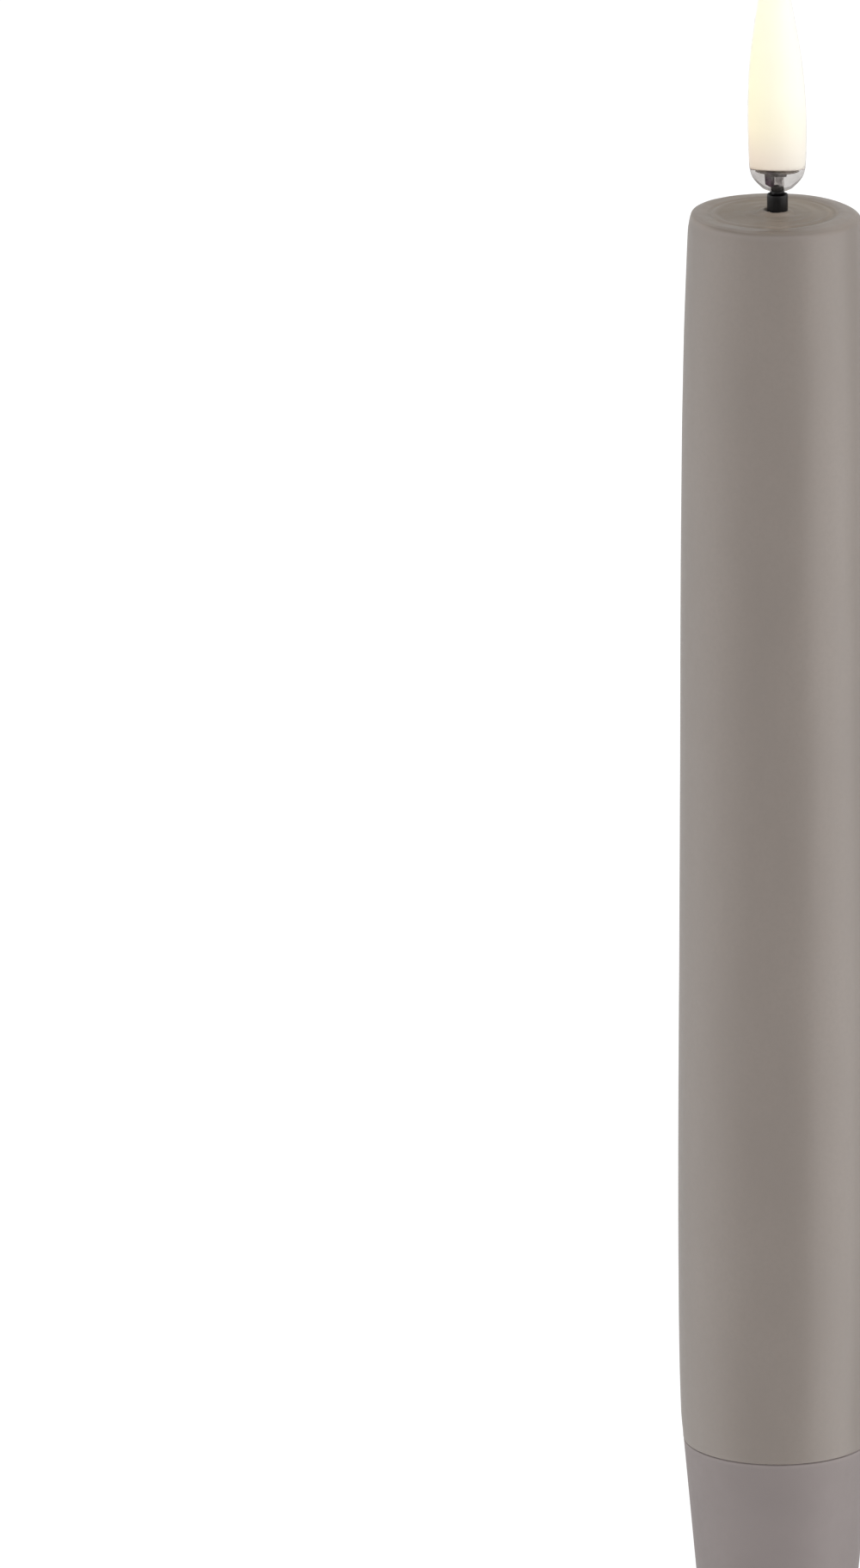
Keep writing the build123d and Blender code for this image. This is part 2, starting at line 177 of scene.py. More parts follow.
# ---- node materials ------------------------------------------------------------------------------
class Material:
    """A node material with the helpers that the finishes below share. Its coordinates are the object's,
    in millimetres."""

    def __init__(self, name):
        self.made = bpy.data.materials.new(name)
        self.made.use_nodes = True
        self.tree = self.made.node_tree
        self.shader = self.tree.nodes["Principled BSDF"]
        self.out = self.tree.nodes["Material Output"]
        place = self.tree.nodes.new("ShaderNodeTexCoord")
        scale = self.tree.nodes.new("ShaderNodeVectorMath")
        scale.operation = "SCALE"
        self.tree.links.new(place.outputs["Object"], scale.inputs[0])
        scale.inputs["Scale"].default_value = 1 / MM
        self.place = scale.outputs[0]
        self.axes = None

    def new(self, kind, **inputs):
        """A new node. Its inputs go by name, with _ for a space, or by number as i0, i1 and so on."""
        node = self.tree.nodes.new("ShaderNode" + kind)
        for key, value in inputs.items():
            self.put(node.inputs[int(key[1:]) if key[1:].isdigit() else key.replace("_", " ")], value)
        return node

    def put(self, socket, value):
        """Links a socket to another node's output, or sets its value."""
        if isinstance(value, bpy.types.NodeSocket):
            self.tree.links.new(value, socket)
        elif hasattr(socket.default_value, "__len__") and not hasattr(value, "__len__"):
            socket.default_value = [value] * len(socket.default_value)
        elif hasattr(value, "__len__") and len(value) == 3 and len(socket.default_value) == 4:
            socket.default_value = (*value, 1)
        else:
            socket.default_value = value

    def set(self, **inputs):
        for key, value in inputs.items():
            self.put(self.shader.inputs[key.replace("_", " ")], value)
        return self

    def math(self, operation, a, b=0.0, c=0.0):
        node = self.new("Math", i0=a, i1=b, i2=c)
        node.operation = operation
        return node.outputs[0]

    def part(self, axis):
        if self.axes is None:
            self.axes = self.new("SeparateXYZ", i0=self.place)
        return self.axes.outputs[axis]

    def radius(self):
        """The distance from the candle's axis."""
        across = self.math("POWER", self.part("X"), 2.0)
        away = self.math("POWER", self.part("Y"), 2.0)
        return self.math("SQRT", self.math("ADD", across, away))

    def stretched(self, x, y, z):
        node = self.new("VectorMath", i0=self.place, i1=(x, y, z))
        node.operation = "MULTIPLY"
        return node.outputs[0]

    def noise(self, scale, detail=3.0, rough=0.5, place=None, distort=0.0):
        node = self.new("TexNoise", Vector=place or self.place, Scale=scale, Detail=detail)
        self.put(node.inputs["Roughness"], rough)
        self.put(node.inputs["Distortion"], distort)
        return node.outputs["Fac"]

    def spots(self, scale):
        node = self.new("TexVoronoi", Vector=self.place, Scale=scale)
        return node.outputs["Distance"]

    def span(self, value, low, high, to_low=0.0, to_high=1.0, soft=True):
        """The value, mapped from low..high to to_low..to_high and held at those ends."""
        ends = {"From_Min": low, "From_Max": high, "To_Min": to_low, "To_Max": to_high}
        node = self.new("MapRange", Value=value, **ends)
        node.interpolation_type = "SMOOTHSTEP" if soft else "LINEAR"
        return node.outputs[0]

    def mix(self, factor, a, b):
        node = self.tree.nodes.new("ShaderNodeMix")
        node.data_type = "RGBA"
        self.put(node.inputs[0], factor)
        self.put(node.inputs[6], a)
        self.put(node.inputs[7], b)
        return node.outputs[2]

    def ramp(self, factor, stops):
        node = self.new("ValToRGB", Fac=factor)
        colours = node.color_ramp.elements
        colours.remove(colours[1])
        colours[0].position, colours[0].color = stops[0][0], (*stops[0][1], 1)
        for at, colour in stops[1:]:
            colours.new(at).color = (*colour, 1)
        return node.outputs[0]

    def relief(self, height, depth, normal=None):
        """Bump of that depth, in millimetres."""
        node = self.new("Bump", Height=height, Distance=depth * MM, Strength=1.0)
        if normal is not None:
            self.put(node.inputs["Normal"], normal)
        return node.outputs[0]


def tint(colour, factor):
    return tuple(c * factor for c in colour)


# ---- finishes ------------------------------------------------------------------------------------
WAX = (0.209, 0.179, 0.158)
CROWN_Z = 172.1, 172.9  # the wax turns browner between these heights
CREST_Z = 172.6, 172.95  # painted shade darkens the front of the rim between these
POOL_EDGE_R = 7.3, 6.5  # the melt pool's colour and painted shade fade in between these radii
CELL_LENGTH = 44.5


def wax_finish():
    """Dyed wax: a soft satin skin with faint clouding and fine pores, and a browner melt pool, with
    painted light and shade on its top.
    """
    m = Material("sandstone wax")
    cloud = m.noise(0.09, 4.0, 0.55, place=m.stretched(1, 1, 0.45))
    fine = m.noise(1.9, 3.0, 0.6)
    pores = m.span(m.spots(2.6), 0.0, 0.16, 1.0, 0.0)
    body = m.mix(m.span(cloud, 0.3, 0.7), tint(WAX, 0.965), tint(WAX, 1.035))
    body = m.mix(m.span(fine, 0.35, 0.7, 0.0, 0.35), body, tint(WAX, 0.93))
    top = m.span(m.part("Z"), *CROWN_Z)

    # The rim is browner than the side. Painted light makes it paler to the left and right, and in front
    # below its crest.
    rim_tone_and_painted_light = m.mix(m.span(fine, 0.3, 0.7), (0.208, 0.172, 0.14), (0.216, 0.18, 0.147))
    # Painted shade darkens the front of the rim at its crest, which faces the overhead light.
    crest = m.span(m.part("Z"), *CREST_Z)
    front_painted_light_and_shade = m.mix(crest, (0.226, 0.197, 0.178), (0.176, 0.147, 0.124))
    rim_tone_and_painted_light = m.mix(m.span(m.part("Y"), -3.5, -8.0), rim_tone_and_painted_light, front_painted_light_and_shade)
    rim_tone_and_painted_light = m.mix(m.span(m.part("X"), 2.0, 7.0), rim_tone_and_painted_light, (0.235, 0.2, 0.173))
    rim_tone_and_painted_light = m.mix(m.span(m.part("X"), -7.0, -9.0), rim_tone_and_painted_light, (0.228, 0.193, 0.166))
    body = m.mix(top, body, rim_tone_and_painted_light)

    # The melt pool is the brownest. Painted shade makes it darkest at its left and in front.
    melted = m.math("MULTIPLY", top, m.span(m.radius(), *POOL_EDGE_R))
    pool_tone_and_painted_shade = m.mix(m.span(m.part("X"), -6.0, 2.0), (0.184, 0.148, 0.112), (0.228, 0.188, 0.145))
    pool_tone_and_painted_shade = m.mix(m.span(m.part("Y"), 1.5, -4.5), pool_tone_and_painted_shade, (0.19, 0.156, 0.125))
    body = m.mix(m.math("MULTIPLY", melted, 0.85), body, pool_tone_and_painted_shade)

    # Painted light: a paler strip in front of the wick offsets the wick's dark reflection and shadow
    # there.
    near_wick = m.math("MULTIPLY", melted, m.span(m.radius(), 3.2, 1.6, 0.0, 0.9))
    before_wick = m.math("MULTIPLY", near_wick, m.span(m.part("Y"), -0.6, -1.4))
    body = m.mix(before_wick, body, (0.29, 0.24, 0.2))
    # The painted light runs on ahead of the wick, towards the rim.
    middle = m.span(m.math("ABSOLUTE", m.part("X")), 2.0, 0.8)
    ahead = m.math("MULTIPLY", middle, m.span(m.part("Y"), -1.4, -2.4, 0.0, 0.5))
    ahead = m.math("MULTIPLY", ahead, m.span(m.radius(), 9.0, 8.0))
    body = m.mix(m.math("MULTIPLY", top, ahead), body, (0.28, 0.235, 0.195))

    rough = m.span(m.noise(0.7, 3.0, 0.6), 0.25, 0.75, 0.3, 0.37)
    rough = m.math("MULTIPLY_ADD", melted, 0.13, rough)
    grain = m.relief(m.noise(5.5, 2.0, 0.6), 0.004)
    dimples = m.relief(pores, -0.004, grain)
    waves = m.relief(m.noise(0.22, 2.0, 0.5, place=m.stretched(1, 1, 0.35)), 0.05, dimples)
    m.set(Base_Color=body, Roughness=rough, Normal=waves, IOR=1.44)
    m.set(Subsurface_Weight=0.12, Subsurface_Scale=0.001, Subsurface_Radius=(1.0, 0.72, 0.55))
    return m.made


def foot_finish():
    """The foot's painted plastic: a cooler shade, with a fine even grain and a painted highlight under its
    top edge.
    """
    m = Material("sandstone plastic")
    shade = (0.197, 0.169, 0.163)
    cloud = m.noise(0.12, 3.0, 0.5)
    body = m.mix(m.span(cloud, 0.3, 0.7), tint(shade, 0.975), tint(shade, 1.025))
    scuffs = m.span(m.noise(0.8, 6.0, 0.7, place=m.stretched(1, 1, 5)), 0.62, 0.8, 0.0, 0.4)
    patches = m.span(m.noise(0.25, 2.0), 0.3, 0.6, 0.3, 1.0)
    # Painted highlight: a paler band just under the top edge, where the edge would catch the light.
    painted_edge_highlight = m.math("MULTIPLY", m.span(m.part("Z"), 25.3, 25.75), patches)
    body = m.mix(painted_edge_highlight, body, tint(shade, 1.12))
    low_edge = m.math("MULTIPLY", m.span(m.part("Z"), 1.1, 0.2), scuffs)
    body = m.mix(low_edge, body, (0.33, 0.3, 0.28))
    rough = m.span(m.noise(0.9, 3.0, 0.6), 0.25, 0.75, 0.5, 0.58)
    m.set(Base_Color=body, Roughness=rough, IOR=1.45, Normal=m.relief(m.noise(9.0, 2.0, 0.6), 0.004))
    return m.made


def moulded(name, colour, rough=0.45, grain=0.004, grain_scale=7.0, marks=0.03):
    """Moulded plastic with a fine grain, faint flow clouding and slight gloss changes."""
    m = Material(name)
    cloud = m.noise(0.15, 4.0, 0.6, place=m.stretched(1, 1, 0.5), distort=0.6)
    body = m.mix(m.span(cloud, 0.3, 0.7), tint(colour, 1 - marks), tint(colour, 1 + marks))
    gloss = m.span(m.noise(0.6, 3.0, 0.6), 0.25, 0.75, rough - 0.05, rough + 0.05)
    skin = m.relief(m.noise(grain_scale, 2.0, 0.6), grain)
    m.set(Base_Color=body, Roughness=gloss, Normal=skin, IOR=1.47)
    return m.made


def metal(name, colour, rough=0.3, along="Z", grain=0.002):
    """Drawn or rolled metal, with fine lines along one axis and a little tarnish."""
    m = Material(name)
    keep = {"X": (0.15, 6, 6), "Y": (6, 0.15, 6), "Z": (6, 6, 0.15)}[along]
    lines = m.noise(1.0, 4.0, 0.65, place=m.stretched(*keep))
    tarnish = m.span(m.noise(0.35, 4.0, 0.6), 0.5, 0.75, 0.0, 0.35)
    body = m.mix(m.span(lines, 0.3, 0.7), tint(colour, 0.9), tint(colour, 1.08))
    body = m.mix(tarnish, body, tint(colour, 0.62))
    gloss = m.span(lines, 0.3, 0.7, rough - 0.06, rough + 0.06)
    gloss = m.math("ADD", gloss, m.math("MULTIPLY", tarnish, 0.25))
    m.set(Base_Color=body, Roughness=gloss, Metallic=1.0, Normal=m.relief(lines, grain))
    return m.made


def circuit_finish(name, board_colour=(0.018, 0.11, 0.045)):
    """Solder mask over copper tracks, with tinned pads."""
    m = Material(name)
    tracks = m.new("TexBrick", Vector=m.stretched(0.6, 0.6, 0.6), Scale=1.0)
    tracks.inputs["Mortar Size"].default_value = 0.07
    tracks.inputs["Brick Width"].default_value = 1.7
    tracks.inputs["Row Height"].default_value = 0.55
    line = tracks.outputs["Fac"]
    body = m.mix(line, board_colour, tint(board_colour, 1.9))
    pads = m.span(m.spots(0.8), 0.16, 0.13)
    body = m.mix(pads, body, (0.62, 0.6, 0.55))
    rough = m.math("SUBTRACT", 0.34, m.math("MULTIPLY", pads, 0.1))
    m.set(Base_Color=body, Roughness=rough, Metallic=pads)
    m.set(Normal=m.relief(line, 0.02), Coat_Weight=0.25, Coat_Roughness=0.2)
    return m.made


def label_finish():
    """A cell's shrink label: a dark body, and a coppery band at the positive end over a pale rule."""
    m = Material("cell label")
    along = m.math("SUBTRACT", m.part("Z"), box_mm("lower_cell")[0].z)
    repeat = m.math("MODULO", along, CELL_LENGTH)
    band = m.span(repeat, 31.2, 31.5)
    rule = m.math("MULTIPLY", m.span(repeat, 29.4, 29.6), m.span(repeat, 30.2, 30.0))
    wear = m.span(m.noise(0.5, 5.0, 0.7), 0.6, 0.8, 0.0, 0.2)
    body = m.mix(band, (0.012, 0.05, 0.032), (0.52, 0.27, 0.1))
    body = m.mix(rule, body, (0.6, 0.6, 0.56))
    body = m.mix(wear, body, (0.25, 0.25, 0.24))
    rough = m.span(m.noise(1.2, 3.0), 0.3, 0.7, 0.22, 0.34)
    m.set(Base_Color=body, Roughness=rough, Coat_Weight=0.4, Coat_Roughness=0.1)
    m.set(Normal=m.relief(m.noise(0.8, 3.0), 0.01))
    return m.made


def clear_finish():
    """The flame's acrylic: frosted over the light guide, and clear with a grey, cloudy tinge in the
    bowl, where glue holds the LED. The cloudiness fades towards the bowl's bottom."""
    m = Material("clear acrylic")
    bowl = m.span(m.part("Z"), 178.7, 178.3)
    patches = m.span(m.noise(1.3, 4.0, 0.6), 0.35, 0.65)
    tinge_and_painted_light = m.mix(patches, (0.46, 0.43, 0.415), (0.6, 0.575, 0.56))
    # Painted light: the bowl's tinge is paler to the right, where the light falls.
    tinge_and_painted_light = m.mix(m.span(m.part("X"), -2.0, 2.0, 0.0, 0.3), tinge_and_painted_light, (0.84, 0.83, 0.82))
    body = m.mix(bowl, (0.995, 0.99, 0.985), tinge_and_painted_light)
    haze = m.span(m.noise(0.9, 3.0, 0.6), 0.4, 0.7, 0.02, 0.06)
    rough = m.math("ADD", haze, m.math("MULTIPLY", m.math("SUBTRACT", 1.0, bowl), 0.3))
    cloudy = m.math("MULTIPLY", m.span(patches, 0.0, 1.0, 0.05, 0.13), bowl)
    cloudy = m.math("MULTIPLY", cloudy, m.span(m.part("Z"), 176.2, 177.0, 0.15, 1.0))
    clear = m.math("SUBTRACT", 1.0, cloudy)
    m.set(Base_Color=body, Roughness=rough, Transmission_Weight=clear, IOR=1.08)
    m.set(Normal=m.relief(m.noise(0.5, 2.0, 0.5), 0.004))
    return m.made


def glow_finish(low, high):
    """The milky light guide between two heights. Its glow is painted light from the LED inside it, warm on
    one side and white on the other, after the LED's two emitters. Its lower rim is painted shade, darkest
    on the left."""
    m = Material("glowing diffuser")
    rise = m.span(m.part("Z"), low, high, soft=False)
    warm = m.ramp(rise, [
        (0.0, (0.25, 0.155, 0.115)), (0.05, (0.315, 0.2, 0.157)), (0.17, (0.455, 0.375, 0.215)),
        (0.3, (0.465, 0.445, 0.25)), (0.5, (0.465, 0.455, 0.28)), (1.0, (0.48, 0.475, 0.36)),
    ])
    cool = m.ramp(rise, [
        (0.0, (0.3, 0.265, 0.29)), (0.05, (0.34, 0.31, 0.325)), (0.17, (0.42, 0.395, 0.375)),
        (0.3, (0.49, 0.48, 0.48)), (0.5, (0.49, 0.485, 0.52)), (1.0, (0.48, 0.475, 0.5)),
    ])
    # Painted glow, warm to the left and white to the right.
    glow = m.mix(m.span(m.part("X"), -3.0, 3.0, soft=False), warm, cool)
    cloud = m.span(m.noise(0.35, 3.0, 0.5), 0.3, 0.7, 0.835, 0.89)
    level = m.math("MULTIPLY_ADD", m.part("Y"), GUIDE_SLANT, m.part("Z"))
    above_rim = m.math("SUBTRACT", level, GUIDE_BASE_Z)
    # Painted shade darkens the lower rim, most on the left, and dims the glow there.
    rim = m.math("MULTIPLY", m.span(above_rim, 0.16, 0.04), m.span(m.part("X"), -2.4, 2.4, 0.8, 0.2))
    body = m.mix(rim, (0.565, 0.545, 0.445), (0.1, 0.07, 0.06))
    strength = m.math("MULTIPLY", cloud, m.math("SUBTRACT", 1.0, rim))
    m.set(Base_Color=body, Roughness=0.55, Emission_Color=glow, Emission_Strength=strength)
    return m.made


def wick_finish():
    """Black heat-shrink tube, dull, with faint scuffs and lengthwise creases."""
    m = Material("black wick")
    creases = m.noise(1.6, 4.0, 0.6, place=m.stretched(1.6, 1.6, 0.5))
    scuff = m.span(m.noise(2.4, 5.0, 0.7), 0.58, 0.78, 0.0, 0.5)
    body = m.mix(scuff, (0.0035, 0.003, 0.0032), (0.009, 0.008, 0.009))
    rough = m.span(creases, 0.3, 0.7, 0.28, 0.42)
    m.set(Base_Color=body, Roughness=rough, IOR=1.4, Specular_IOR_Level=0.28)
    m.set(Normal=m.relief(creases, 0.05, m.relief(m.noise(8.0, 2.0), 0.006)))
    return m.made


def led_finish(name, colour, glow=0.0):
    """A small moulding with uneven shade and gloss, which may glow."""
    m = Material(name)
    patch = m.noise(3.2, 3.0, 0.6)
    body = m.mix(m.span(patch, 0.35, 0.65), tint(colour, 0.8), tint(colour, 1.25))
    m.set(Base_Color=body, Roughness=m.span(patch, 0.3, 0.7, 0.25, 0.45), Normal=m.relief(patch, 0.02))
    if glow:
        m.set(Emission_Color=body, Emission_Strength=glow)
    return m.made


def legs_finish():
    """The LED's legs. The one to the left is coated dark, and the other is bright tin."""
    m = Material("LED legs")
    patch = m.noise(2.6, 3.0, 0.6)
    bright = m.mix(m.span(patch, 0.35, 0.65), (0.62, 0.6, 0.62), (0.85, 0.84, 0.86))
    dark = m.mix(m.span(patch, 0.35, 0.65), (0.045, 0.012, 0.035), (0.1, 0.045, 0.085))
    side = m.span(m.part("X"), -0.28, -0.24)
    m.set(Base_Color=m.mix(side, dark, bright), Metallic=m.math("MULTIPLY", side, 0.3))
    m.set(Roughness=m.span(patch, 0.3, 0.7, 0.25, 0.4), Normal=m.relief(patch, 0.02))
    return m.made


# ---- the wax -------------------------------------------------------------------------------------
SEAM_Z = box_mm("wax_sleeve")[0].z - 0.095  # a hairline above the foot
WAX_BORE_R = 8.42
WICK_HOLE_R = 1.3
CORE_LID_Z = 170.05
SHOULDER_Z = 171.2  # above this, crown_height gives the outside its height
POOL_Z = 173.12  # the melt pool's level, which its ripples rise and fall about
WICK_MOUND = 0.28  # how far the wax climbs round the wick
WICK_TOP_Z = box_mm("wick_sleeve")[1].z + 0.18
WAX_SEGMENTS = 192

# The body's radius by height, and how far its axis leans to the right by height.
side_radius = Smooth([
    (26.1, 10.99), (36.0, 11.3), (48.0, 11.525), (58.0, 11.54), (86.0, 11.41), (108.0, 11.17),
    (131.0, 10.88), (150.0, 10.62), (163.0, 10.3), (170.4, 10.01),
])
lean = Smooth([
    (26, -0.16), (36, -0.12), (46, 0.0), (54, 0.02), (70, 0.02), (88, 0.04), (106, -0.04), (123, -0.2),
    (140, -0.26), (165, -0.28), (175, -0.28),
])

# The top's height by radius: the rim at the left and at the right, and the ripples of the melt pool.
crown_left = Smooth([
    (9.95, 171.3), (9.87, 171.84), (9.76, 172.42), (9.62, 172.93), (9.4, 173.13), (9.0, 173.19),
    (8.2, 173.13), (7.6, 173.08), (7.2, 173.0),
])
crown_right = Smooth([
    (9.95, 171.65), (9.89, 172.15), (9.78, 172.5), (9.62, 172.68), (9.4, 172.82), (9.1, 172.99),
    (8.7, 173.1), (8.2, 173.19), (7.7, 173.24), (7.2, 173.12),
])
pool = Smooth([
    (7.4, 173.1), (7.1, 172.98), (6.85, 173.04), (6.6, 173.14), (6.3, 173.13), (5.95, 173.04),
    (5.6, 173.02), (5.2, 173.07), (4.7, 173.17), (4.3, 173.2), (3.9, 173.15), (3.4, 173.22),
    (2.9, 173.28), (2.5, 173.22), (2.0, 173.24), (1.3, 173.24),
])


def crown_height(angle, r):
    """The top's height. Its ripples are off centre and broken up, but whole at the melt pool's edge."""
    right = 0.5 + 0.5 * math.cos(angle)
    rim = crown_left(r) + (crown_right(r) - crown_left(r)) * right
    off_centre = 0.4 * math.cos(angle) * ease(2.5, 6.5, r)
    swirl = r + off_centre + 0.16 * math.sin(angle * 2 + 0.8) * bump_at(4.4, 1.6, r)
    patch = noise.noise(Vector((math.cos(angle) * 1.3, math.sin(angle) * 1.3, r * 0.3)))
    strength = min(max(0.55 + patch, 0.2), 1.0)
    strength += (1 - strength) * ease(6.0, 6.8, swirl)
    inner = POOL_Z + (pool(swirl) - POOL_Z) * strength
    share = ease(7.7, 6.9, swirl)
    return rim + (inner - rim) * share + WICK_MOUND * ease(2.3, 1.35, r)


def wax_point(angle, r, z):
    """Moves a point of the plain turned wax to where the poured and dipped wax really is. The lower
    edge, the bore and the wick's hole stay."""
    c, s = math.cos(angle), math.sin(angle)
    in_bore = r < WAX_BORE_R + 0.01 and z <= CORE_LID_Z
    if z < SEAM_Z + 0.3 or in_bore or r < WICK_HOLE_R:
        return r * c, r * s, z
    spot = Vector((r * c, r * s, z))
    slow = noise.noise(Vector((spot.x * 0.11, spot.y * 0.11, z * 0.035)) + Vector((3.1, 7.7, 1.3)))
    quick = noise.noise(Vector((spot.x * 0.45, spot.y * 0.45, z * 0.14)) + Vector((9.4, 2.6, 5.5)))
    side = ease(8.0, 9.6, r)
    away = ease(SEAM_Z, SEAM_Z + 3, z)
    r += side * away * (0.045 * slow + 0.012 * quick)
    if z > SHOULDER_Z:
        top = ease(9.9, 9.0, r) * ease(1.3, 2.2, r)
        z = crown_height(angle, r)
        broad = noise.noise(Vector((spot.x * 0.28, spot.y * 0.28, 4.2)))
        narrow = noise.noise(Vector((spot.x * 0.9, spot.y * 0.9, 8.1)))
        z += top * (0.06 * broad + 0.012 * narrow)
    return r * c + lean(z) * away, r * s, z


def make_wax():
    """The wax body, from its lower edge up the side, over the top and down the hole and the bore."""
    edge, low_r = 0.02, side_radius(SEAM_Z)
    top = SHOULDER_Z + 0.8  # any height above the shoulder, because wax_point sets it
    outline = [(low_r - edge, SEAM_Z), (low_r - 0.3 * edge, SEAM_Z + 0.3 * edge), (low_r, SEAM_Z + edge)]
    outline += [(side_radius(z), z) for z in steps(SEAM_Z + 0.6, 170.4, 1.2)]
    outline += [(9.98, 170.9)]
    outline += [(r, top) for r in (9.95, 9.91, 9.87, 9.82, 9.76, 9.69)]
    outline += [(r, top) for r in steps(9.61, WICK_HOLE_R, 0.085)]
    outline += [(WICK_HOLE_R - 0.01, 172.6), (WICK_HOLE_R - 0.01, 171.1), (WICK_HOLE_R, CORE_LID_Z)]
    outline += [(r, CORE_LID_Z) for r in (3.5, 6.0)]
    outline += [(WAX_BORE_R, z) for z in steps(CORE_LID_Z, SEAM_Z, 12)]
    outline += [(9.6, SEAM_Z)]
    piece = turned("wax_body", outline, WAX_SEGMENTS, wax_point, closed=True)
    piece.data.materials.append(wax_finish())
    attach(piece, "candle")
    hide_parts("wax_sleeve")


# ---- the flame -----------------------------------------------------------------------------------
FLAME_TIP_Z = box_mm("flame_shell")[1].z
STEM_TOP_Z = box_mm("wick_stem")[1].z
guide_low, guide_high = box_mm("flame_diffuser")
FLAME_SEGMENTS = 96
FLAME_WALL = 0.28
GUIDE_BASE_Z = guide_low.z - 0.3
GUIDE_SLANT = 0.18
flame_radius = Smooth([
    (177.8, 3.06), (178.3, 3.17), (179.1, 3.26), (183.0, 3.37), (185.9, 3.32), (190.8, 3.0),
    (195.8, 2.3), (201.0, 1.46), (205.6, 0.8), (209.0, 0.36),
])


def flame_point(angle, r, z):
    """The moulded flame leans a little, and isn't quite round."""
    away = ease(179, 205, z)
    r *= 1 + 0.012 * away * math.sin(2 * angle + 0.5)
    return r * math.cos(angle) - 0.45 * away, r * math.sin(angle), z


def guide_point(angle, r, z):
    """The light guide's underside is cut on a slant, so it is higher in front than behind."""
    x, y, z = flame_point(angle, r, z)
    return x, y, z - GUIDE_SLANT * y * ease(GUIDE_BASE_Z + 2.4, GUIDE_BASE_Z, z) * ease(1.3, 1.6, r)


def flame_side(low, high, inset):
    """The flame's outline between two heights, made smaller by an inset."""
    return [(max(flame_radius(z) - inset, 0.0), z) for z in steps(low, high, 0.5)]


def make_flame():
    """The clear outer flame, with its bowl solid below the light guide, and the guide inside it."""
    bowl = [
        (0.75, 175.74), (1.0, 175.8), (1.25, 175.88), (1.5, 175.99), (1.75, 176.12), (1.93, 176.3),
        (2.2, 176.56), (2.47, 176.84), (2.71, 177.14), (2.91, 177.46), (3.06, 177.82),
    ]
    shell = bowl + flame_side(178.3, 209.0, 0.0)
    shell += [(0.22, 209.8), (0.1, 210.5), (0.0, FLAME_TIP_Z - 0.02)]
    shell += [(0.0, 207.4)]
    inside = flame_side(guide_low.z + 1.0, 206.4, FLAME_WALL + 0.15)
    shell += [(r, z) for r, z in reversed(inside) if r > 0.02]
    shell += [(2.6, GUIDE_BASE_Z), (0.76, GUIDE_BASE_Z - 0.02), (0.76, 176.4)]
    outer = turned("flame_lens", shell, FLAME_SEGMENTS, flame_point, closed=True)
    outer.data.materials.append(clear_finish())
    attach(outer, "candle")
    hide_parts("flame_shell")

    recess = guide_low.z + 1.1
    core = [(0.0, recess), (1.2, recess - 0.02), (1.4, recess - 0.2), (1.4, GUIDE_BASE_Z + 0.1)]
    core += [(r, GUIDE_BASE_Z) for r in (1.5, 1.9, 2.3)]
    core += [(flame_radius(GUIDE_BASE_Z) - FLAME_WALL - 0.06, GUIDE_BASE_Z)]
    core += flame_side(GUIDE_BASE_Z + 0.06, 206.0, FLAME_WALL)
    core += [(0.0, 207.0)]
    inner = turned("flame_guide", core, FLAME_SEGMENTS, guide_point)
    inner.data.materials.append(glow_finish(guide_low.z, guide_high.z))
    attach(inner, "candle")
    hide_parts("flame_diffuser")


# ---- the LED under the flame ---------------------------------------------------------------------
def make_led():
    """The LED's dark block, and its lead frame: a wide anvil on the left and a bright bent post on the
    right, down to the wires in the wick's neck."""
    top, bottom, wires = box_mm("led_board")[1].z, 177.58, STEM_TOP_Z + 0.05
    block = [(-1.36, bottom), (0.98, bottom), (0.98, top), (-1.36, top)]
    base = plates("led_base", [(block, 0.7)], 0.07)
    base.data.materials.append(led_finish("LED board", (0.04, 0.018, 0.014)))
    anvil = [
        (-1.34, bottom), (-0.33, bottom), (-0.33, 176.78), (-0.45, wires), (-0.75, wires),
        (-1.28, 176.74),
    ]
    post = [
        (-0.2, bottom), (0.5, bottom), (0.66, 177.25), (0.42, 176.95), (0.6, 176.62), (0.55, wires),
        (0.25, wires), (0.14, 176.7), (-0.2, 176.98),
    ]
    leads = plates("led_leads", [(anvil, 0.28), (post, 0.2)], 0.05)
    leads.data.materials.append(legs_finish())
    pieces = (base, "led_board", "led_board_dark"), (leads, "led_legs", "led_leg_tinned")
    for piece, node, slot in pieces:
        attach(piece, "candle")
        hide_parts(node)


# ---- the wick ------------------------------------------------------------------------------------
def wick_point(angle, r, z):
    """Shrink tube isn't quite round, and its thin neck is lumpy just above the thick part."""
    place = Vector((r * math.cos(angle), r * math.sin(angle), z))
    r += 0.025 * noise.noise(place * 0.9) * ease(0.85, 1.2, r)
    lumps = bump_at(WICK_TOP_Z + 0.2, 0.22, z) * ease(0.62, 0.7, r) * ease(0.95, 0.85, r)
    r += lumps * (0.1 + 0.14 * noise.noise(place * 2.6))
    return r * math.cos(angle), r * math.sin(angle), z


def make_wick():
    """The thick black tube, with its flange under the core's lid, and the thin neck above it."""
    low, top = box_mm("wick_sleeve")[0].z, WICK_TOP_Z
    flange_top = low + 1.1
    outline = [(2.6, low), (2.6, flange_top), (1.25, flange_top), (1.25, CORE_LID_Z)]
    outline += [(1.2, z) for z in steps(CORE_LID_Z + 0.4, top - 0.16, 0.25)]
    outline += [(1.19, top - 0.03), (1.16, top), (1.09, top), (1.06, top - 0.03), (1.0, top - 0.5)]
    outline += [(0.8, top - 0.8), (0.8, low + 3), (0.8, low)]
    piece = turned("wick_tube", outline, 64, wick_point, closed=True)

    stem_low, neck_top = box_mm("wick_stem")[0].z, STEM_TOP_Z + 0.16
    neck = [(0.6, stem_low), (0.72, stem_low)]
    neck += [(0.72, z) for z in steps(stem_low + 1, neck_top - 0.5, 0.12)]
    neck += [(0.7, neck_top - 0.2), (0.65, neck_top - 0.03), (0.61, neck_top), (0.6, neck_top - 0.05)]
    sleeve = turned("wick_neck", neck, 48, wick_point, closed=True)
    finish = wick_finish()
    for part, node in ((piece, "wick_sleeve"), (sleeve, "wick_stem")):
        part.data.materials.append(finish)
        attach(part, "candle")
        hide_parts(node)


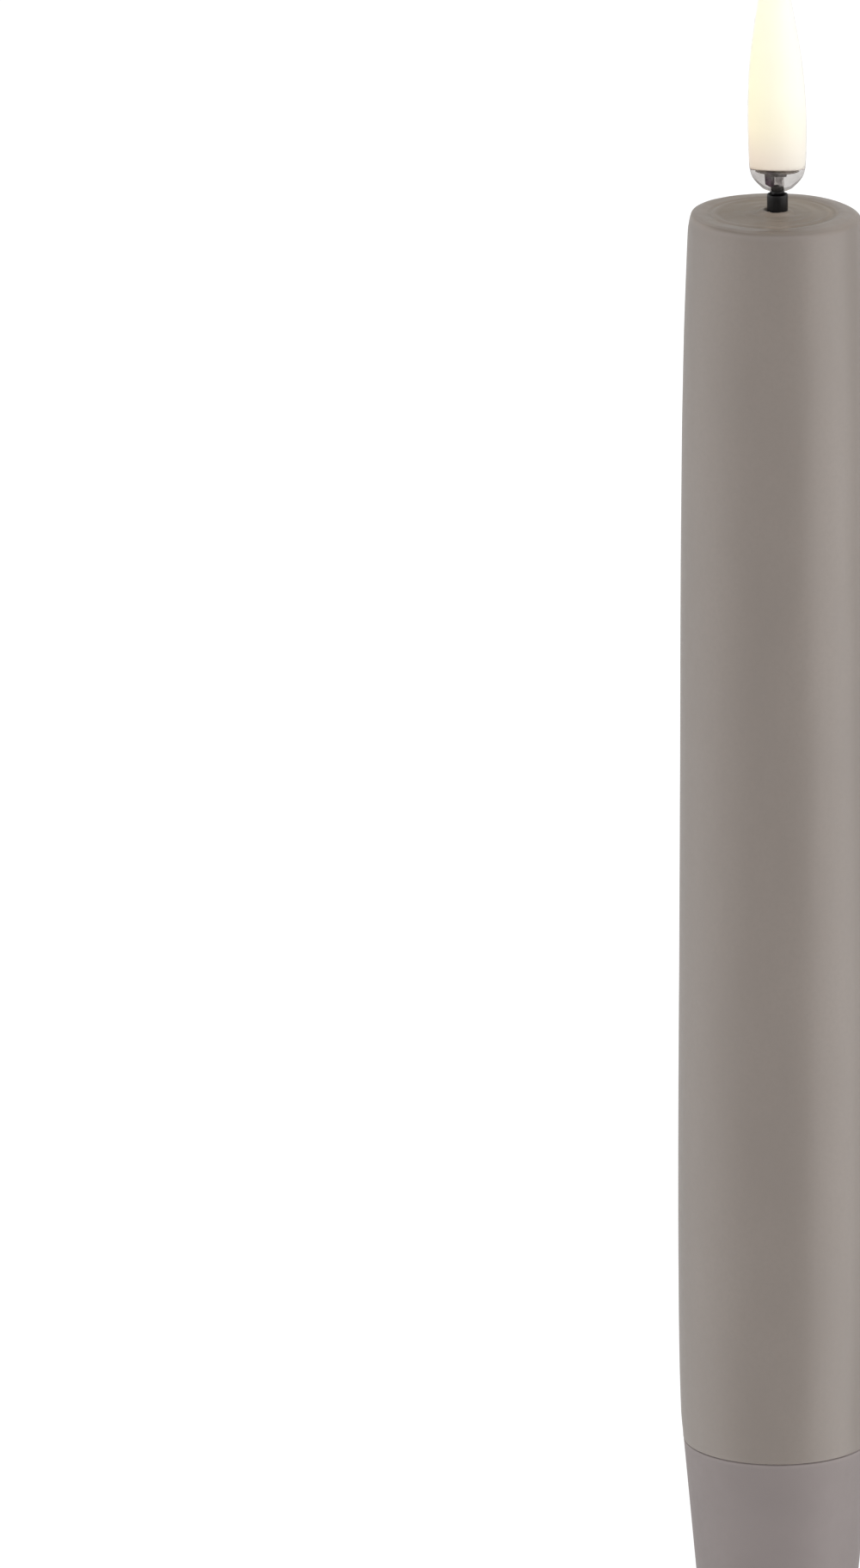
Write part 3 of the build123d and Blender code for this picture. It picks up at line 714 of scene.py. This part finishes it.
# ---- plain finishes for the parts inside ---------------------------------------------------------
def finish_nodes():
    """Gives each CAD node that stays its own finish."""
    white = moulded("core plastic", (0.7, 0.69, 0.65), 0.42)
    chassis = moulded("chassis plastic", (0.76, 0.75, 0.72), 0.48)
    black = moulded("carrier plastic", (0.014, 0.014, 0.0145), 0.5, 0.008, 5.0)
    chip = moulded("chip resin", (0.018, 0.018, 0.019), 0.55, 0.006, 6.0)
    steel = metal("plated steel", (0.62, 0.62, 0.6), 0.26)
    finishes = {
        "core_tube": white,
        "chassis_front": chassis,
        "chassis_rear": chassis,
        "contact_carrier": black,
        "foot_shell": foot_finish(),
        "retaining_ring": metal("spring steel", (0.5, 0.5, 0.5), 0.22),
        "circuit_board": circuit_finish("control board"),
        "switch_board": circuit_finish("switch board"),
        "led_package": led_finish("LED lens", (0.85, 0.72, 0.35), 1.2),
        "control_chip": chip,
        "drive_transistor": chip,
        "ir_receiver": moulded("receiver resin", (0.02, 0.017, 0.022), 0.15, 0.002),
        "smoothing_capacitor": metal("capacitor can", (0.55, 0.56, 0.6), 0.3),
        "chip_resistors": moulded("resistor", (0.02, 0.02, 0.024), 0.35),
        "chip_capacitors": moulded("capacitor ceramic", (0.36, 0.22, 0.11), 0.4),
        "positive_contact": steel,
        "spring_plate": steel,
        "chassis_screws": metal("screw steel", (0.45, 0.45, 0.46), 0.28, "Y"),
        "board_screws": metal("small screw steel", (0.5, 0.5, 0.5), 0.26),
        "on_strip": metal("brass strip", (0.68, 0.5, 0.22), 0.28),
        "timer_strip": metal("brass strip two", (0.68, 0.5, 0.22), 0.3),
        "spring_fingers": metal("phosphor bronze", (0.62, 0.4, 0.2), 0.27),
        "contact_spring": metal("spring wire", (0.58, 0.58, 0.57), 0.2, "X"),
        "switch_case": metal("switch steel", (0.55, 0.56, 0.57), 0.3, "X"),
        "switch_base": moulded("phenolic base", (0.13, 0.06, 0.03), 0.5),
        "switch_knob": moulded("knob plastic", (0.66, 0.66, 0.63), 0.35),
        "lower_cell": metal("cell steel", (0.6, 0.6, 0.6), 0.2),
        "upper_cell": metal("cell steel two", (0.6, 0.6, 0.6), 0.2),
        "led_wire_red": moulded("red insulation", (0.42, 0.015, 0.012), 0.35),
        "led_wire_black": moulded("black insulation", (0.012, 0.012, 0.012), 0.35),
    }
    label = label_finish()
    finishes["lower_cell_wrap"] = label
    finishes["upper_cell_wrap"] = label
    for name, finish in finishes.items():
        for place in nodes[name].material_slots:
            place.material = finish


# ---- stage ---------------------------------------------------------------------------------------
def make_camera():
    """A long lens 2 m away, looking down at 16.3 degrees. The candle stands right of the centre."""
    target = Vector((0, 0, 0.1051))
    distance, sine, cosine = 2.0, 0.28, 0.96
    focal_px, long_side_px, off_centre_px = 20160.0, 1824.0, 404.0
    data = bpy.data.cameras.new("camera")
    data.sensor_width = 36.0
    data.lens = data.sensor_width * focal_px / long_side_px
    data.clip_start, data.clip_end = 0.05, 40.0
    camera = bpy.data.objects.new("camera", data)
    bpy.context.scene.collection.objects.link(camera)
    camera.location = target + Vector((0, -distance * cosine, distance * sine))
    ahead = Vector((0, cosine, -sine))
    up = Vector((0, sine, cosine))
    right = Vector((1, 0, 0))
    turn = math.atan(off_centre_px / focal_px)
    c, s = math.cos(turn), math.sin(turn)
    ahead, right = ahead * c - right * s, right * c + ahead * s
    camera.rotation_mode = "QUATERNION"
    axes = np.array([right, up, -ahead]).T
    camera.rotation_quaternion = Matrix(axes.tolist()).to_quaternion()
    bpy.context.scene.camera = camera


def make_world():
    """A white tent. Its reflections are those of a studio: a soft box to the right, a broad one to the
    left, and a darker room behind."""
    world = bpy.data.worlds.new("studio")
    bpy.context.scene.world = world
    world.use_nodes = True
    tree = world.node_tree
    tree.nodes.clear()

    def add(kind, *inputs, **settings):
        node = tree.nodes.new("ShaderNode" + kind)
        for key, value in settings.items():
            setattr(node, key, value)
        for socket, value in zip(node.inputs, inputs):
            if isinstance(value, bpy.types.NodeSocket):
                tree.links.new(value, socket)
            elif value is not None:
                socket.default_value = value
        return node

    place = add("TexCoord")
    axes = add("SeparateXYZ", place.outputs["Generated"])
    across, away, up = axes.outputs
    toward = add("Math", away, -1.0, operation="MULTIPLY").outputs[0]
    azimuth = add("Math", across, toward, operation="ARCTAN2").outputs[0]
    turn = add("Math", azimuth, 1 / TAU, 0.5, operation="MULTIPLY_ADD").outputs[0]
    ramp = add("ValToRGB", turn)
    elements = ramp.color_ramp.elements
    elements.remove(elements[1])
    elements[0].position = 0.0
    for i, (degrees_round, shine) in enumerate(ROOM):
        element = elements.new(degrees_round / 360 + 0.5) if i else elements[0]
        element.color = (shine / RAMP_SCALE, shine / RAMP_SCALE, shine / RAMP_SCALE, 1)
    ring = add("Math", ramp.outputs[0], RAMP_SCALE, operation="MULTIPLY").outputs[0]
    high = add("MapRange", up, 0.3, 0.75, 0.0, 1.0, interpolation_type="SMOOTHSTEP").outputs[0]
    rest = add("Math", 1.0, high, operation="SUBTRACT").outputs[0]
    shine = add("Math", ring, rest, operation="MULTIPLY").outputs[0]
    shine = add("Math", high, TOP_SHINE, shine, operation="MULTIPLY_ADD").outputs[0]
    rays = add("LightPath")
    glossy = rays.outputs["Is Glossy Ray"]
    plain = add("Math", rays.outputs["Is Camera Ray"], 0.1, TENT, operation="MULTIPLY_ADD").outputs[0]
    dull = add("Math", 1.0, glossy, operation="SUBTRACT").outputs[0]
    level = add("Math", plain, dull, operation="MULTIPLY").outputs[0]
    level = add("Math", shine, glossy, level, operation="MULTIPLY_ADD").outputs[0]
    back = add("Background", (1, 1, 1, 1), level)
    out = tree.nodes.new("ShaderNodeOutputWorld")
    tree.links.new(back.outputs[0], out.inputs[0])
    world.cycles.sampling_method = "NONE"


def make_floor():
    """A broad white surface, which glossy rays don't see."""
    floor = bpy.data.objects.new("floor", bpy.data.meshes.new("floor"))
    half = 9.0
    corners = [(-half, -half, 0), (half, -half, 0), (half, half, 0), (-half, half, 0)]
    floor.data.from_pydata(corners, [], [(0, 1, 2, 3)])
    bpy.context.scene.collection.objects.link(floor)
    floor.location.z = cad_low.z - 0.00002
    m = Material("white floor")
    m.set(Base_Color=(0.86, 0.86, 0.86), Roughness=0.9, Specular_IOR_Level=0.0)
    m.set(Emission_Color=(1, 1, 1), Emission_Strength=0.2)
    floor.data.materials.append(m.made)
    floor.visible_glossy = False


def make_light(name, place, aim, size, power):
    """A white rectangular lamp in metres and watts, which is seen only by what it lights."""
    data = bpy.data.lights.new(name, "AREA")
    data.shape = "RECTANGLE"
    data.size, data.size_y = size
    data.energy = power
    light = bpy.data.objects.new(name, data)
    bpy.context.scene.collection.objects.link(light)
    light.location = place
    light.rotation_mode = "QUATERNION"
    light.rotation_quaternion = (Vector(aim) - Vector(place)).to_track_quat("-Z", "Y")
    light.visible_camera = False
    light.visible_glossy = False
    light.visible_transmission = False


TENT = 0.95  # how bright the tent is to all but glossy rays
TOP_SHINE = 1.0  # how bright the ceiling is in reflections
RAMP_SCALE = 4.0  # a colour ramp holds values up to 1, so the room's are divided by this

# How bright the walls are in reflections, by the angle round from the front to the right, in degrees.
ROOM = [
    (-180, 0.6), (-160, 0.65), (-140, 0.85), (-124, 1.25), (-106, 1.95), (-90, 2.25), (-76, 2.3),
    (-52, 1.75), (-36, 1.2), (-20, 1.03), (20, 1.03), (35, 1.2), (44, 2.6), (57, 3.25), (88, 3.3),
    (98, 2.6), (108, 1.25), (124, 0.7), (150, 0.55), (180, 0.6),
]

make_camera()
make_world()
make_floor()
make_light("soft box", (0.9, -0.9, 1.1), (0, 0, 0.1), (0.8, 0.8), 1.0)
make_light("rim light", (1.3, 0.3, 0.95), (0, 0, 0.15), (0.7, 0.7), 4.8)
make_wax()
make_flame()
make_led()
make_wick()
finish_nodes()
bpy.context.scene.view_settings.view_transform = "Standard"
